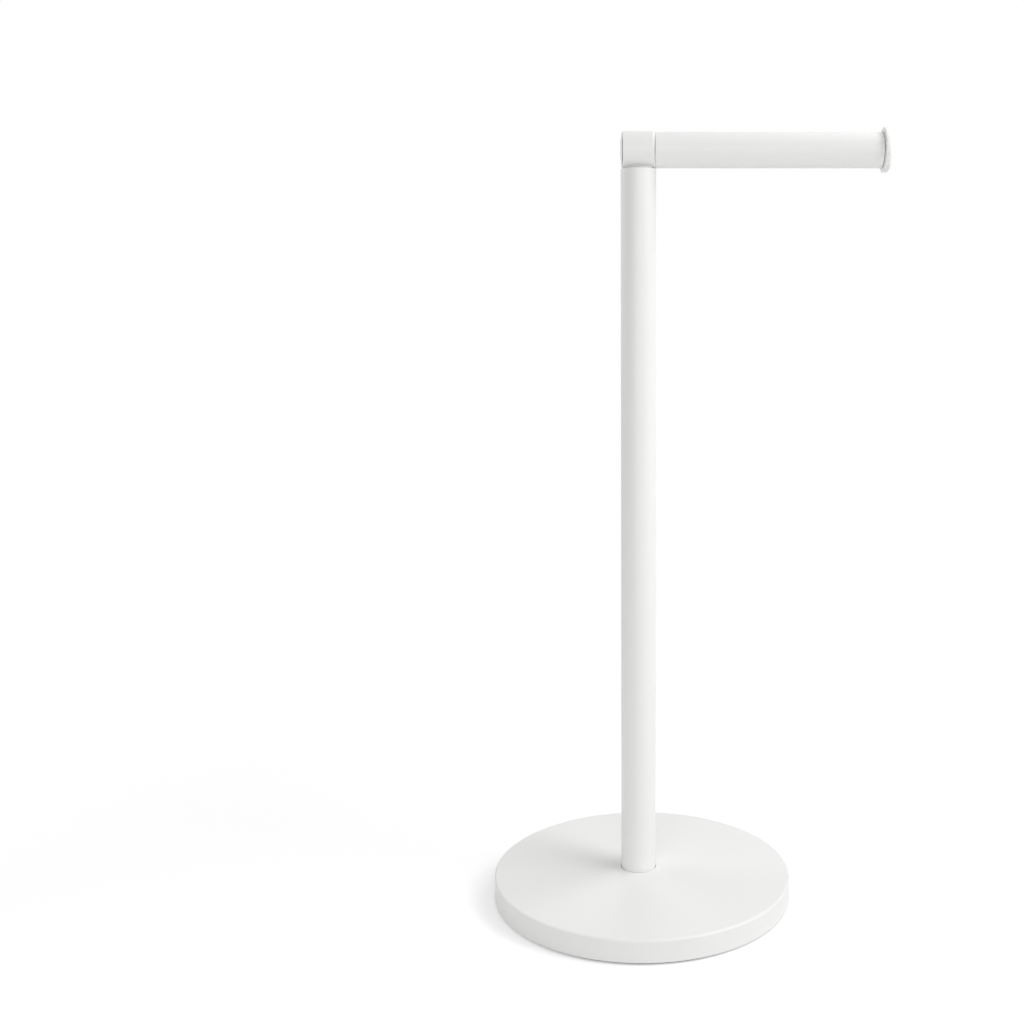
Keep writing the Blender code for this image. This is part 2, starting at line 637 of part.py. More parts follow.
def arm(parts, tube_material, insert_material):
    """Arm tube with the threaded plugs that are pressed in its two ends."""
    tube_ring = ring_profile(ARM_RADIUS, ARM_BORE_RADIUS, ARM_START, ARM_END)
    tube = turned("arm_tube", tube_ring, True, TUBE_SIDES, parts, tube_material)
    lay_along_arm(tube, 0)
    plug_radius = ARM_BORE_RADIUS - FIT_GAP
    root_start = HEAD_FRONT + FIT_GAP
    root_ring = ring_profile(
        plug_radius, ARM_SCREW_RADIUS + FIT_GAP, root_start, root_start + ROOT_PLUG_LENGTH, INSERT_CHAMFER
    )
    root_plug = turned("arm_root_plug", root_ring, True, SMALL_SIDES, parts, insert_material)
    lay_along_arm(root_plug, 0)
    end_ring = ring_profile(
        plug_radius, FLANGE_STUD_RADIUS + FIT_GAP, ARM_END - END_PLUG_LENGTH, ARM_END, INSERT_CHAMFER
    )
    end_plug = turned("arm_end_plug", end_ring, True, SMALL_SIDES, parts, insert_material)
    lay_along_arm(end_plug, 0)


def end_flange(parts, material, stud_material):
    """Domed flange that keeps the roll on the arm, and the stud that screws it to the end plug."""
    shoulder_radius = FLANGE_RADIUS - FLANGE_OUTER_EDGE_RADIUS
    shoulder = FLANGE_RIM + FLANGE_OUTER_EDGE_RADIUS
    profile = dome(shoulder_radius, shoulder, FLANGE_DOME_RISE)
    profile += arc(shoulder_radius, FLANGE_RIM, FLANGE_OUTER_EDGE_RADIUS, 90, 0)[1:]
    inner_edge = FLANGE_INNER_EDGE_RADIUS
    profile += arc(FLANGE_RADIUS - inner_edge, inner_edge, inner_edge, 0, -90)
    bore_radius = FLANGE_STUD_RADIUS + FIT_GAP
    bore_roof = FLANGE_STUD_BITE + FIT_GAP
    profile += [(bore_radius, 0), (bore_radius, bore_roof), (0, bore_roof)]
    flange = turned("end_flange", profile, False, TUBE_SIDES, parts, material)
    lay_along_arm(flange, ARM_LENGTH)
    chamfer = FLANGE_STUD_RADIUS * TIP_CHAMFER_SHARE
    stud_profile = [
        (0, FLANGE_STUD_BITE),
        (FLANGE_STUD_RADIUS - chamfer, FLANGE_STUD_BITE),
        (FLANGE_STUD_RADIUS, FLANGE_STUD_BITE - chamfer),
        (FLANGE_STUD_RADIUS, chamfer - FLANGE_STUD_REACH),
        (FLANGE_STUD_RADIUS - chamfer, -FLANGE_STUD_REACH),
        (0, -FLANGE_STUD_REACH),
    ]
    stud = turned("flange_stud", stud_profile, False, SCREW_SIDES, parts, stud_material)
    lay_along_arm(stud, ARM_LENGTH)


def moving_parent(parts):
    """Empty on the swivel's axis that carries the head and the arm."""
    empty = bpy.data.objects.new("arm_swivel", None)
    empty.location = (POST_X, POST_Y, POST_TOP)
    parts.objects.link(empty)
    bpy.context.view_layer.update()
    moving = (
        "swivel_screw", "swivel_flat_washer", "disc_spring_1", "disc_spring_2", "head_body", "head_end_cap",
        "arm_screw", "arm_lock_washer", "arm_root_plug", "arm_tube", "arm_end_plug", "flange_stud", "end_flange",
    )
    for name in moving:
        piece = bpy.data.objects[name]
        piece.parent = empty
        piece.matrix_parent_inverse = empty.matrix_world.inverted()


def main():
    clear_scene()
    parts = make_collection("freestanding_toilet_paper_holder")
    cutters = make_collection("cutters")
    coat = make_material("white_powder_coat")
    iron = make_material("cast_iron")
    steel = make_material("zinc_plated_steel")
    spring_steel = make_material("blued_spring_steel")
    insert_steel = make_material("machined_steel")
    base_pad(parts, make_material("dark_foam_pad"))
    base_cover(parts, cutters, coat)
    ballast_disc(parts, cutters, iron)
    cover_screws(parts, cutters, steel, insert_steel)
    base_fastening(parts, cutters, steel)
    post(parts, coat, insert_steel)
    post_top_plug(parts, coat)
    swivel_bush(parts, make_material("natural_nylon"))
    swivel_fastening(parts, cutters, steel, spring_steel)
    flat = head_flat_cutter(cutters)
    head_body(parts, cutters, flat, coat)
    head_end_cap(parts, flat, coat)
    arm_fastening(parts, cutters, steel)
    arm(parts, coat, insert_steel)
    end_flange(parts, coat, steel)
    moving_parent(parts)


main()
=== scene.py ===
"""Freestanding toilet paper holder: finished pieces and materials over its packed frame.

All sizes are metres in the frame's own axes:
+Z up the post, +X along the arm, -Y towards the viewer.
"""

import math

import bmesh
import bpy
from bpy.props import FloatProperty, FloatVectorProperty, IntProperty, PointerProperty
from mathutils import Matrix, Vector


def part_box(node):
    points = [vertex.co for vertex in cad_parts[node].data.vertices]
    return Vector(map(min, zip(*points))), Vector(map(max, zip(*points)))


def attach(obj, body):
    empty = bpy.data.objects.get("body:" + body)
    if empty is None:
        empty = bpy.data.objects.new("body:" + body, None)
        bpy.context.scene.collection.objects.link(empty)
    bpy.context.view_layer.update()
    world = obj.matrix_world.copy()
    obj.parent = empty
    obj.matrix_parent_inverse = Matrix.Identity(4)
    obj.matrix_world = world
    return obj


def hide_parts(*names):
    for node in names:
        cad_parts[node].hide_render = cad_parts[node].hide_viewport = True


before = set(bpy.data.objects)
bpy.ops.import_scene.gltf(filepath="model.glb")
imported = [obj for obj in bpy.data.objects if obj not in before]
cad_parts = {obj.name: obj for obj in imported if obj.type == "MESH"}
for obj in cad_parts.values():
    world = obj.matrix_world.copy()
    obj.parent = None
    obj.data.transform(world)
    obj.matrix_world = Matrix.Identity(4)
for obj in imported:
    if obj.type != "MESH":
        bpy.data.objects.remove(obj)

bl_info = {
    "name": "Toilet Paper Holder",
    "version": (1, 0, 0),
    "blender": (4, 5, 0),
    "location": "3D View > Sidebar > Holder",
    "description": "Builds a coated free-standing toilet paper holder over its packed frame",
    "category": "Add Mesh",
}

# Boxes of the packed pieces that the finished ones stand for
COVER_LOW, COVER_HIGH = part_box("base_cover")
PAD_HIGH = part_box("base_pad")[1]
POST_LOW, POST_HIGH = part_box("post_tube")
HEAD_LOW, HEAD_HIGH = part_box("head_body")
CAP_LOW, CAP_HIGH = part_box("head_end_cap")
ARM_LOW, ARM_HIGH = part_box("arm_tube")
FLANGE_LOW, FLANGE_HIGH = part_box("end_flange")

POST_X = (POST_LOW.x + POST_HIGH.x) / 2
POST_Y = (POST_LOW.y + POST_HIGH.y) / 2
ARM_HEIGHT = (ARM_LOW.z + ARM_HIGH.z) / 2

# Points nearer than this are one point
MERGE_DISTANCE = 0.000001
# Points that hold a flat or straight stretch true beside a rounded corner stand this far from it
HOLD_DISTANCE = 0.0003
SHARP_ANGLE = math.radians(35)
# Degrees of a rounded square corner, and steps of the small and smallest roundings and of a dome
CORNER = 90
SMALL_STEPS = 4
SMALLEST_STEPS = 3
DOME_STEPS = 24
# Width of the camera's sensor in millimetres
SENSOR_WIDTH = 36


def length(name, description, default):
    """A size in metres that a user can change."""
    return FloatProperty(
        name=name, description=description, default=default, min=0, precision=5,
        subtype="DISTANCE", unit="LENGTH",
    )


def share(name, description, default):
    """A number from 0 to 1."""
    return FloatProperty(
        name=name, description=description, default=default, min=0, max=1, subtype="FACTOR"
    )


def tint(name, description, default):
    """A colour."""
    return FloatVectorProperty(
        name=name, description=description, default=default, min=0, max=1, size=3, subtype="COLOR"
    )


class HOLDER_PG_base(bpy.types.PropertyGroup):
    """Sizes of the base's cover and pad."""

    radius: length("Cover radius", "Outer radius of the cover", COVER_HIGH.x)
    height: length("Height", "Top of the cover above the floor", COVER_HIGH.z)
    lift: length("Lift", "Lower edge of the cover above the floor", COVER_LOW.z)
    wall: length("Wall", "Sheet thickness of the cover", 0.0015)
    rim: length("Rim radius", "Rounding of the cover's upper edge", 0.0015)
    hem: length("Hem radius", "Rounding of the cover's lower edge", 0.0003)
    hole: length("Hole radius", "Radius of the hole that the post passes through", 0.0113)
    hole_edge: length("Hole edge", "Rounding of the hole's upper edge", 0.00025)
    pad_radius: length("Pad radius", "Outer radius of the pad", PAD_HIGH.x)
    pad_height: length("Pad height", "Thickness of the pad", PAD_HIGH.z)
    pad_edge: length("Pad edge", "Rounding of the pad's edges", 0.0003)
    steps: IntProperty(
        name="Steps", description="Steps round the base", default=256, min=64, max=512
    )


class HOLDER_PG_tubes(bpy.types.PropertyGroup):
    """Sizes of the post and the arm."""

    post_radius: length("Post radius", "Outer radius of the post", (POST_HIGH.x - POST_LOW.x) / 2)
    arm_radius: length("Arm radius", "Outer radius of the arm", (ARM_HIGH.z - ARM_LOW.z) / 2)
    wall: length("Wall", "Wall thickness of both tubes", 0.0015)
    post_edge: length("Post edge", "Rounding of the post's upper edge", 0.0008)
    cut_edge: length("Cut edge", "Rounding of the tubes' other cut edges", 0.0002)
    steps: IntProperty(
        name="Steps", description="Steps round the tubes", default=128, min=32, max=256
    )


class HOLDER_PG_head(bpy.types.PropertyGroup):
    """Sizes of the head and its cap."""

    radius: length("Radius", "Radius of the head", (HEAD_HIGH.y - HEAD_LOW.y) / 2)
    bevel_length: length("Bevel length", "Length of the bevel at the head's arm end", 0.0011)
    bevel_depth: length("Bevel depth", "Depth of the bevel at the head's arm end", 0.00027)
    edge: length("Edge", "Rounding of the head's other edges", 0.0002)
    flat_edge: length("Flat edge", "Rounding round the flat underside", 0.0003)
    socket: length("Socket radius", "Radius of the socket for the cap", 0.007)
    socket_depth: length("Socket depth", "Depth of the socket for the cap", 0.003)
    pocket: length("Pocket radius", "Radius of the pocket for the screw's head", 0.0047)
    pocket_end: length("Pocket end", "Where the pocket ends, beyond the post's axis", 0.0012)
    bore: length("Bore radius", "Radius of the screw's bore", 0.0028)
    boss: length("Boss radius", "Radius of the boss under the head that stands on the post", 0.0095)
    boss_height: length("Boss height", "Height of the boss, with its part inside the head", 0.0006)
    boss_step: length("Boss step", "How far the boss stands out below the flat underside", 0.0005)
    cap_rim: length("Cap rim", "Thickness of the cap's rim", 0.0003)
    cap_rise: length("Cap rise", "Height of the cap's dome", 0.0011)
    cap_edge: length("Cap edge", "Rounding round the cap's flat underside", 0.000075)
    spigot: length("Spigot radius", "Radius of the cap's spigot", 0.0067)


class HOLDER_PG_flange(bpy.types.PropertyGroup):
    """Sizes of the flange at the arm's end."""

    radius: length("Radius", "Outer radius of the flange", (FLANGE_HIGH.y - FLANGE_LOW.y) / 2)
    rim: length("Rim", "Thickness of the flange's rim up to its outer rounding", 0.0021)
    inner_edge: length("Inner edge", "Rounding of the edge that faces the roll", 0.0008)
    outer_edge: length("Outer edge", "Rounding of the edge that faces outwards", 0.002)
    rise: length("Dome rise", "Height of the dome", 0.0018)
    bore: length("Bore radius", "Radius of the stud's bore", 0.0033)
    bore_depth: length("Bore depth", "Depth of the stud's bore", 0.0038)


class HOLDER_PG_finish(bpy.types.PropertyGroup):
    """Colours and textures of the materials."""

    coat: tint("Coat", "Colour of the powder coat", (0.90, 0.90, 0.89))
    coat_roughness: share("Coat roughness", "Roughness of the powder coat", 0.42)
    coat_spread: share("Coat spread", "How much the coat's roughness varies", 0.03)
    peel: length("Peel height", "Height of the coat's faint orange peel", 0.00002)
    grain: length("Grain height", "Height of the coat's fine grain", 0.000008)
    foam: tint("Foam", "Colour of the pad", (0.035, 0.035, 0.037))
    iron: tint("Iron", "Colour of the cast weight", (0.13, 0.13, 0.14))
    zinc: tint("Zinc", "Colour of the plated screws", (0.62, 0.63, 0.65))
    steel: tint("Steel", "Colour of the turned inserts", (0.50, 0.51, 0.53))
    spring: tint("Spring steel", "Colour of the disc springs", (0.10, 0.11, 0.13))
    nylon: tint("Nylon", "Colour of the bush", (0.80, 0.79, 0.74))


class HOLDER_PG_stage(bpy.types.PropertyGroup):
    """Floor, light and camera."""

    floor: tint("Floor", "Colour of the floor", (0.85, 0.85, 0.85))
    floor_roughness: share("Floor roughness", "Roughness of the floor", 0.8)
    floor_size: length("Floor size", "Side of the square floor", 12)
    floor_glow: share("Floor glow", "White added to the floor where it is seen", 0.34)
    floor_reach: length("Floor reach", "How far from the base the floor still shows shadows", 0.5)
    ambient: FloatProperty(
        name="Ambient", description="Strength of the light all round", default=0.25, min=0
    )
    lens: FloatProperty(
        name="Lens", description="Focal length", default=45.4419, min=1, unit="CAMERA"
    )
    camera: FloatVectorProperty(
        name="Camera", description="Place of the camera", default=(-0.0022, -0.8, 0.37555), size=3,
        precision=5, subtype="TRANSLATION", unit="LENGTH",
    )
    tilt: FloatProperty(
        name="Tilt", description="How far the camera looks down", default=0.09207,
        precision=5, subtype="ANGLE", unit="ROTATION",
    )
    shift: FloatVectorProperty(
        name="Shift", description="How far the lens is shifted across and up",
        default=(-0.123671, -0.085938), size=2, precision=5,
    )


# Lumps in a metre of each pattern
LUMPS = {
    "coat_cloud": 22,
    "coat_peel": 620,
    "coat_grain": 2600,
    "foam_cells": 1900,
    "foam_cloud": 90,
    "iron_grain": 900,
    "iron_patches": 60,
    "metal_grooves": 5200,
    "metal_cloud": 240,
    "nylon_cloud": 260,
    "nylon_grain": 2400,
    "floor_grain": 300,
}

# Shares of a finish's colour where it is darkest and lightest
TONES = {"coat": (0.985, 1.0), "foam": (0.6, 1.5), "metal": (0.86, 1.08), "nylon": (0.95, 1.02)}

# Lowest roughness and its spread; on turned metal the lowest is counted from the metal's own
ROUGHNESS = {"foam": (0.86, 0.1), "iron": (0.5, 0.2), "metal": (-0.05, 0.1), "nylon": (0.45, 0.08)}

# Depth in metres of each relief
RELIEF = {"foam": 0.00008, "iron": 0.00012, "nylon": 0.00001, "floor": 0.00002}

# Roughness of each turned metal and the depth of the grooves on it
METALS = {"zinc": (0.33, 0.000006), "steel": (0.38, 0.00002), "spring": (0.4, 0.00001)}

# Rust in the cast iron: its colour, its share and where its patches begin and are full
RUST = (0.16, 0.09, 0.06)
RUST_SHARE = 0.35
RUST_BEGINS = 0.55
RUST_FULL = 0.75
# How metallic the cast iron is
IRON_METALLIC = 0.7

# Lamps as heading from +X and height above the floor in degrees, distance, side and power
LAMPS = {
    "key_light": (-20, 32, 1.3, 0.9, 3.8),
    "edge_light": (-25, 32, 1.3, 0.35, 2.0),
    "high_light": (10, 52, 1.3, 0.9, 7.0),
    "front_light": (-95, 12, 1.3, 0.9, 4.75),
    "back_light": (150, 25, 1.3, 0.9, 3.3),
    "top_light": (-60, 75, 1.3, 0.9, 0.8),
    "low_light": (-150, -18, 0.47, 0.09, 0.09),
    "far_light": (90, 20, 1.3, 0.9, 1.0),
}

# Where the lamps point
LAMP_TARGET = Vector((0, 0, 0.2))


class Socket:
    """A shader socket; sums, differences, products and powers of it add Math nodes."""

    def __init__(self, finish, output):
        self.finish = finish
        self.output = output

    def math(self, operation, first, second=None):
        values = {0: first} if second is None else {0: first, 1: second}
        return self.finish.node("ShaderNodeMath", {"operation": operation}, values)

    def __add__(self, other):
        return self.math("ADD", self, other)

    __radd__ = __add__

    def __sub__(self, other):
        return self.math("SUBTRACT", self, other)

    def __rsub__(self, other):
        return self.math("SUBTRACT", other, self)

    def __mul__(self, other):
        return self.math("MULTIPLY", self, other)

    __rmul__ = __mul__

    def __pow__(self, other):
        return self.math("POWER", self, other)


class Finish:
    """Nodes of one material or of the world."""

    def __init__(self, holder):
        holder.use_nodes = True
        self.holder = holder
        self.tree = holder.node_tree
        self.tree.nodes.clear()

    def node(self, kind, settings=None, values=None, output=0):
        """Add a node: first its settings, then the values or links of its sockets."""
        made = self.tree.nodes.new(kind)
        for name, value in (settings or {}).items():
            if name == "stops":
                self.set_stops(made.color_ramp, value)
            else:
                setattr(made, name, value)
        for key, value in (values or {}).items():
            if isinstance(value, Socket):
                self.tree.links.new(value.output, made.inputs[key])
            else:
                made.inputs[key].default_value = value
        return Socket(self, made.outputs[output])

    def set_stops(self, ramp, stops):
        """Place a ramp's stops, each a position and a grey level."""
        for index, (position, level) in enumerate(stops):
            stop = ramp.elements[index] if index < 2 else ramp.elements.new(position)
            stop.position = position
            stop.color = (level, level, level, 1)

    def place(self, centre=(0, 0, 0)):
        """Object coordinates counted from a centre."""
        here = self.node("ShaderNodeTexCoord", output="Object")
        offset = tuple(-value for value in centre)
        return self.node("ShaderNodeMapping", None, {"Vector": here, "Location": offset})

    def noise(self, place, scale, detail=2.0, roughness=0.5):
        """Smooth noise with so many lumps in a metre."""
        return self.node(
            "ShaderNodeTexNoise", {"noise_dimensions": "3D"},
            {"Vector": place, "Scale": scale, "Detail": detail, "Roughness": roughness}, "Fac",
        )

    def blend(self, mask, first, second):
        """Colour between two others."""
        colours = [value if isinstance(value, Socket) else (*value, 1) for value in (first, second)]
        return self.node(
            "ShaderNodeMix", {"data_type": "RGBA", "clamp_factor": True},
            {0: mask, 6: colours[0], 7: colours[1]}, 2,
        )

    def bump(self, height, distance, under=None):
        """Normal that leans as a height says, in metres."""
        values = {"Height": height, "Distance": distance, "Strength": 1.0}
        if under:
            values["Normal"] = under
        return self.node("ShaderNodeBump", None, values)

    def seen(self):
        """1 for rays from the camera, in reflections and through glass, and 0 for the rest."""
        camera, glossy, through = [
            self.node("ShaderNodeLightPath", output=name)
            for name in ("Is Camera Ray", "Is Glossy Ray", "Is Transmission Ray")
        ]
        return self.node(
            "ShaderNodeMath", {"operation": "ADD", "use_clamp": True},
            {0: camera + glossy, 1: through},
        )

    def surface(self, **values):
        """End the material in a Principled shader."""
        named = {name.replace("_", " ").title(): value for name, value in values.items()}
        shader = self.node("ShaderNodeBsdfPrincipled", None, named)
        self.node_out(shader)

    def node_out(self, shader):
        """Send a shader to the output."""
        world = isinstance(self.holder, bpy.types.World)
        out = self.tree.nodes.new("ShaderNodeOutputWorld" if world else "ShaderNodeOutputMaterial")
        self.tree.links.new(shader.output, out.inputs["Surface"])


def shaded(colour, level):
    """A colour made darker or lighter by one number."""
    return tuple(value * level for value in colour)


def mottled(made, mask, colour, kind):
    """A colour that a pattern makes darker and lighter by the kind's tones."""
    dark, light = TONES[kind]
    return made.blend(mask, shaded(colour, dark), shaded(colour, light))


def varied(mask, kind, start=0.0):
    """Roughness that a pattern varies over the kind's range."""
    low, spread = ROUGHNESS[kind]
    return (start + low) + mask * spread


def powder_coat(finish):
    """Satin white powder coat: a faint orange peel with a finer grain on it."""
    made = Finish(bpy.data.materials.new("powder_coat"))
    place = made.place()
    cloud = made.noise(place, LUMPS["coat_cloud"], 3)
    peel = made.noise(place, LUMPS["coat_peel"], 2)
    grain = made.noise(place, LUMPS["coat_grain"], 2, 0.6)
    colour = mottled(made, cloud, finish.coat, "coat")
    low = finish.coat_roughness - finish.coat_spread
    roughness = low + cloud * finish.coat_spread + grain * finish.coat_spread
    normal = made.bump(grain, finish.grain, made.bump(peel, finish.peel))
    made.surface(base_color=colour, roughness=roughness, normal=normal)
    return made.holder


def foam_rubber(finish):
    """Matt closed-cell foam with small open cells in its skin."""
    made = Finish(bpy.data.materials.new("foam_rubber"))
    place = made.place()
    cells = made.node(
        "ShaderNodeTexVoronoi", {"feature": "F1", "distance": "EUCLIDEAN"},
        {"Vector": place, "Scale": LUMPS["foam_cells"]}, "Distance",
    )
    cloud = made.noise(place, LUMPS["foam_cloud"], 3)
    colour = mottled(made, cells * 0.7 + cloud * 0.3, finish.foam, "foam")
    normal = made.bump(cells, RELIEF["foam"])
    made.surface(base_color=colour, roughness=varied(cloud, "foam"), normal=normal)
    return made.holder


def cast_iron(finish):
    """Sand-cast iron, grainy and slightly rusty in its hollows."""
    made = Finish(bpy.data.materials.new("cast_iron"))
    place = made.place()
    grain = made.noise(place, LUMPS["iron_grain"], 6, 0.65)
    patches = made.noise(place, LUMPS["iron_patches"], 4)
    rust = made.node(
        "ShaderNodeValToRGB", {"stops": ((RUST_BEGINS, 0), (RUST_FULL, 1))}, {"Fac": patches}
    )
    colour = made.blend(rust * RUST_SHARE, tuple(finish.iron), RUST)
    made.surface(
        base_color=colour, metallic=IRON_METALLIC, roughness=varied(grain, "iron"),
        normal=made.bump(grain, RELIEF["iron"]),
    )
    return made.holder


def turned_metal(name, colour, kind, along_arm):
    """Metal with the fine grooves that a lathe leaves round a piece's own axis."""
    roughness, depth = METALS[kind]
    made = Finish(bpy.data.materials.new(name))
    centre = (0, POST_Y, ARM_HEIGHT) if along_arm else (POST_X, POST_Y, 0)
    place = made.place(centre)
    across = [
        made.node("ShaderNodeSeparateXYZ", None, {"Vector": place}, axis) for axis in range(3)
    ]
    axial = across.pop(0 if along_arm else 2)
    radial = (across[0] * across[0] + across[1] * across[1]) ** 0.5
    grooves = made.node(
        "ShaderNodeTexNoise", {"noise_dimensions": "1D"},
        {
            "W": axial + radial, "Scale": LUMPS["metal_grooves"], "Detail": 2.0,
            "Roughness": 0.5,
        },
        "Fac",
    )
    cloud = made.noise(place, LUMPS["metal_cloud"], 3)
    tone = mottled(made, grooves * 0.5 + cloud * 0.5, colour, "metal")
    made.surface(
        base_color=tone, metallic=1.0, roughness=varied(cloud, "metal", roughness),
        normal=made.bump(grooves, depth),
    )
    return made.holder


def moulded_nylon(finish):
    """Natural nylon, faintly mottled."""
    made = Finish(bpy.data.materials.new("moulded_nylon"))
    place = made.place()
    cloud = made.noise(place, LUMPS["nylon_cloud"], 3)
    grain = made.noise(place, LUMPS["nylon_grain"], 2)
    colour = mottled(made, cloud, finish.nylon, "nylon")
    normal = made.bump(grain, RELIEF["nylon"])
    made.surface(base_color=colour, roughness=varied(grain, "nylon"), normal=normal)
    return made.holder


def ready(name, maker, *values):
    """The material of that name, made the first time that it is asked for."""
    return bpy.data.materials.get(name) or maker(*values)


class Outline:
    """A line drawn in the plane of radius and height, which is spun into a turned piece."""

    def __init__(self, radius, height):
        self.shape = bmesh.new()
        self.first = self.shape.verts.new((radius, 0, height))
        self.tip = self.first

    def step(self, place):
        """Draw one edge to a place."""
        made = bmesh.ops.extrude_vert_indiv(self.shape, verts=[self.tip])
        self.tip = made["verts"][0]
        self.tip.co = place

    def line(self, radius, height):
        """Draw a straight line, with a point near each end that holds it true by roundings."""
        start = self.tip.co.copy()
        end = Vector((radius, 0, height))
        run = (end - start).length
        hold = min(HOLD_DISTANCE, run / 3) / run
        for share_of_run in (hold, 1 - hold, 1):
            self.step(start.lerp(end, share_of_run))
        return self

    def turn(self, radius, height, degrees, steps=8):
        """Draw an arc clockwise about a centre; a negative angle draws it the other way."""
        made = bmesh.ops.spin(
            self.shape, geom=[self.tip], cent=(radius, 0, height), axis=(0, 1, 0),
            dvec=(0, 0, 0), angle=math.radians(degrees), steps=steps,
            use_merge=False, use_normal_flip=False, use_duplicate=False,
        )
        self.tip = next(item for item in made["geom_last"] if isinstance(item, bmesh.types.BMVert))
        return self

    def spun(self, steps, centre=(0, 0, 0)):
        """Spin the line all the way round an upright axis."""
        bmesh.ops.spin(
            self.shape, geom=self.shape.verts[:] + self.shape.edges[:], cent=(0, 0, 0),
            axis=(0, 0, 1), dvec=(0, 0, 0), angle=math.tau, steps=steps,
            use_merge=True, use_normal_flip=False, use_duplicate=False,
        )
        bmesh.ops.remove_doubles(self.shape, verts=self.shape.verts, dist=MERGE_DISTANCE)
        bmesh.ops.translate(self.shape, verts=self.shape.verts, vec=centre)
        return self.shape

    def spun_ring(self, steps, centre=(0, 0, 0)):
        """Close the line on itself and spin it into a ring."""
        self.line(self.first.co.x, self.first.co.z)
        bmesh.ops.remove_doubles(self.shape, verts=self.shape.verts, dist=MERGE_DISTANCE)
        return self.spun(steps, centre)


def dome(rim_radius, rim_height, rise):
    """Outline of a shallow dome from its peak to its rim."""
    ball = (rim_radius ** 2 + rise ** 2) / (2 * rise)
    peak = rim_height + rise
    reach = math.degrees(math.asin(rim_radius / ball))
    return Outline(0, peak).turn(0, peak - ball, reach, DOME_STEPS)


def lay_along_arm(shape, x, backwards=False):
    """Lay an upright shape on the arm's axis, its top towards +X, or towards -X when backwards."""
    turn = Matrix.Rotation(math.radians(-90 if backwards else 90), 4, "Y")
    move = Matrix.Translation((x, POST_Y, ARM_HEIGHT))
    bmesh.ops.transform(shape, matrix=move @ turn, verts=shape.verts)


def plane_underside(shape, height, edge_radius):
    """Cut the underside flat at a height and round the edges of the cut."""
    cut = bmesh.ops.bisect_plane(
        shape, geom=shape.verts[:] + shape.edges[:] + shape.faces[:], dist=MERGE_DISTANCE,
        plane_co=(0, 0, height), plane_no=(0, 0, -1), clear_outer=True, clear_inner=False,
    )
    edges = [item for item in cut["geom_cut"] if isinstance(item, bmesh.types.BMEdge)]
    bmesh.ops.holes_fill(shape, edges=edges, sides=0)
    edges = [edge for edge in edges if edge.is_valid]
    bmesh.ops.bevel(
        shape, geom=edges, offset=edge_radius, offset_type="OFFSET", affect="EDGES",
        segments=SMALLEST_STEPS, profile=0.5, material=-1, clamp_overlap=True,
    )


def add_piece(name, shape, material, body, node):
    """Make a finished piece that stands for one packed node."""
    bmesh.ops.recalc_face_normals(shape, faces=shape.faces)
    loose = [edge for edge in shape.edges if not edge.is_manifold]
    if loose:
        raise RuntimeError(f"{name} is open at {len(loose)} edges")
    for face in shape.faces:
        face.smooth = True
    mesh = bpy.data.meshes.new(name)
    shape.to_mesh(mesh)
    shape.free()
    mesh.set_sharp_from_angle(angle=SHARP_ANGLE)
    mesh.materials.append(material)
    piece = bpy.data.objects.new(name, mesh)
    bpy.context.scene.collection.objects.link(piece)
    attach(piece, body)
    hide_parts(node)
    return piece


class HOLDER_OT_cover(bpy.types.Operator):
    """Pressed cover of the base, with a rounded rim and the hole for the post"""

    bl_idname = "holder.cover"
    bl_label = "Base Cover"

    def execute(self, context):
        base = context.scene.holder_base
        under = base.height - base.wall
        inner = base.radius - base.wall
        reach = base.radius - base.rim
        lip = base.hole + base.hole_edge
        outline = Outline(base.hole, base.height - base.hole_edge)
        outline.turn(lip, base.height - base.hole_edge, CORNER, SMALL_STEPS)
        outline.line(reach, base.height).turn(reach, base.height - base.rim, CORNER)
        outline.line(base.radius, base.lift + base.hem)
        outline.turn(base.radius - base.hem, base.lift + base.hem, CORNER, SMALL_STEPS)
        outline.line(inner + base.hem, base.lift)
        outline.turn(inner + base.hem, base.lift + base.hem, CORNER, SMALL_STEPS)
        outline.line(inner, under).line(base.hole, under)
        shape = outline.spun_ring(base.steps)
        near = lip + 2 * HOLD_DISTANCE
        round_hole = [point for point in shape.verts if point.co.xy.length < near]
        bmesh.ops.translate(shape, verts=round_hole, vec=(POST_X, POST_Y, 0))
        coat = ready("powder_coat", powder_coat, context.scene.holder_finish)
        add_piece("cover", shape, coat, "stand", "base_cover")
        return {"FINISHED"}


class HOLDER_OT_pad(bpy.types.Operator):
    """Foam pad under the base"""

    bl_idname = "holder.pad"
    bl_label = "Base Pad"

    def execute(self, context):
        base = context.scene.holder_base
        reach = base.pad_radius - base.pad_edge
        outline = Outline(0, base.pad_height).line(reach, base.pad_height)
        outline.turn(reach, base.pad_height - base.pad_edge, CORNER, SMALL_STEPS)
        outline.line(base.pad_radius, base.pad_edge)
        outline.turn(reach, base.pad_edge, CORNER, SMALL_STEPS).line(0, 0)
        foam = ready("foam_rubber", foam_rubber, context.scene.holder_finish)
        add_piece("pad", outline.spun(base.steps), foam, "stand", "base_pad")
        return {"FINISHED"}


class HOLDER_OT_post(bpy.types.Operator):
    """Upright tube with a rounded upper edge"""

    bl_idname = "holder.post"
    bl_label = "Post"

    def execute(self, context):
        tubes = context.scene.holder_tubes
        outer = tubes.post_radius
        bore = outer - tubes.wall
        top = POST_HIGH.z
        foot = POST_LOW.z
        rounding = outer - tubes.post_edge
        outline = Outline(rounding, top).turn(rounding, top - tubes.post_edge, CORNER)
        outline.line(outer, foot + tubes.cut_edge)
        outline.turn(outer - tubes.cut_edge, foot + tubes.cut_edge, CORNER, SMALLEST_STEPS)
        outline.line(bore, foot).line(bore, top)
        shape = outline.spun_ring(tubes.steps, (POST_X, POST_Y, 0))
        coat = ready("powder_coat", powder_coat, context.scene.holder_finish)
        add_piece("post", shape, coat, "stand", "post_tube")
        return {"FINISHED"}


